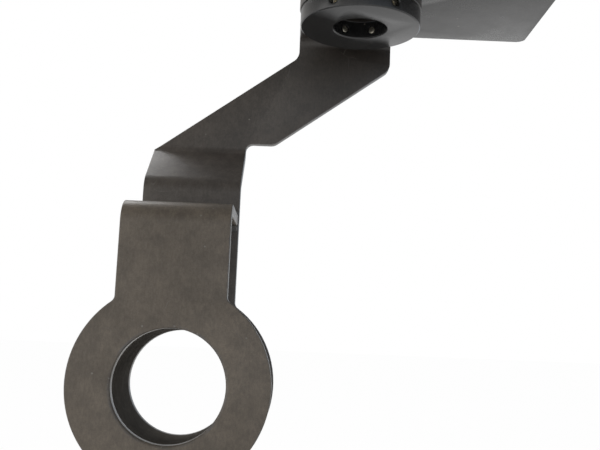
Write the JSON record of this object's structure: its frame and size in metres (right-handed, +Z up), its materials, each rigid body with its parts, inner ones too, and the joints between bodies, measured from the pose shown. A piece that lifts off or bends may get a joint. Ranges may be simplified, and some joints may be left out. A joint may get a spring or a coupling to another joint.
{
  "type": "trailer coupler lock",
  "caption": "Black steel lock bracket for a trailer coupling: a double ring eye on a dog-leg arm, and a top plate with a clamp collar and set screws under it.",
  "frame": {"origin": "centre of the eye's bore, at half the eye's depth", "axes": "+X to the side the arm steps towards, +Y to the rear (the arm's side of the eye) along the eye's bore, +Z up to the top plate"},
  "size_m": [0.332, 0.136, 0.365],
  "materials": {
    "paint": "black powder coat, semi-gloss",
    "collar": "black, satin over turned steel",
    "weld": "painted weld bead",
    "screw": "zinc plated"
  },
  "bodies": {
    "bracket": {"arm_bracket": "paint", "front_plate": "paint", "eye_barrel": "paint", "barrel_weld_front": "weld", "barrel_weld_rear": "weld", "hood_weld": "weld", "top_plate": "paint", "clamp_collar": "collar", "collar_screws": "screw"},
    "screw_1": {"set_screw_1": "screw"},
    "screw_2": {"set_screw_2": "screw"},
    "screw_3": {"set_screw_3": "screw"},
    "screw_4": {"set_screw_4": "screw"},
    "screw_5": {"set_screw_5": "screw"},
    "screw_6": {"set_screw_6": "screw"}
  },
  "joints": [
    {"name": "set_screw_1_travel", "type": "slide", "parent": "bracket", "child": "screw_1", "axis": [-1, 0, 0], "range_m": [-0.004, 0.008]},
    {"name": "set_screw_2_travel", "type": "slide", "parent": "bracket", "child": "screw_2", "axis": [-0.5, -0.866, 0], "range_m": [-0.004, 0.008]},
    {"name": "set_screw_3_travel", "type": "slide", "parent": "bracket", "child": "screw_3", "axis": [0.5, -0.866, 0], "range_m": [-0.004, 0.008]},
    {"name": "set_screw_4_travel", "type": "slide", "parent": "bracket", "child": "screw_4", "axis": [1, 0, 0], "range_m": [-0.004, 0.008]},
    {"name": "set_screw_5_travel", "type": "slide", "parent": "bracket", "child": "screw_5", "axis": [0.5, 0.866, 0], "range_m": [-0.004, 0.008]},
    {"name": "set_screw_6_travel", "type": "slide", "parent": "bracket", "child": "screw_6", "axis": [-0.5, 0.866, 0], "range_m": [-0.004, 0.008]}
  ]
}
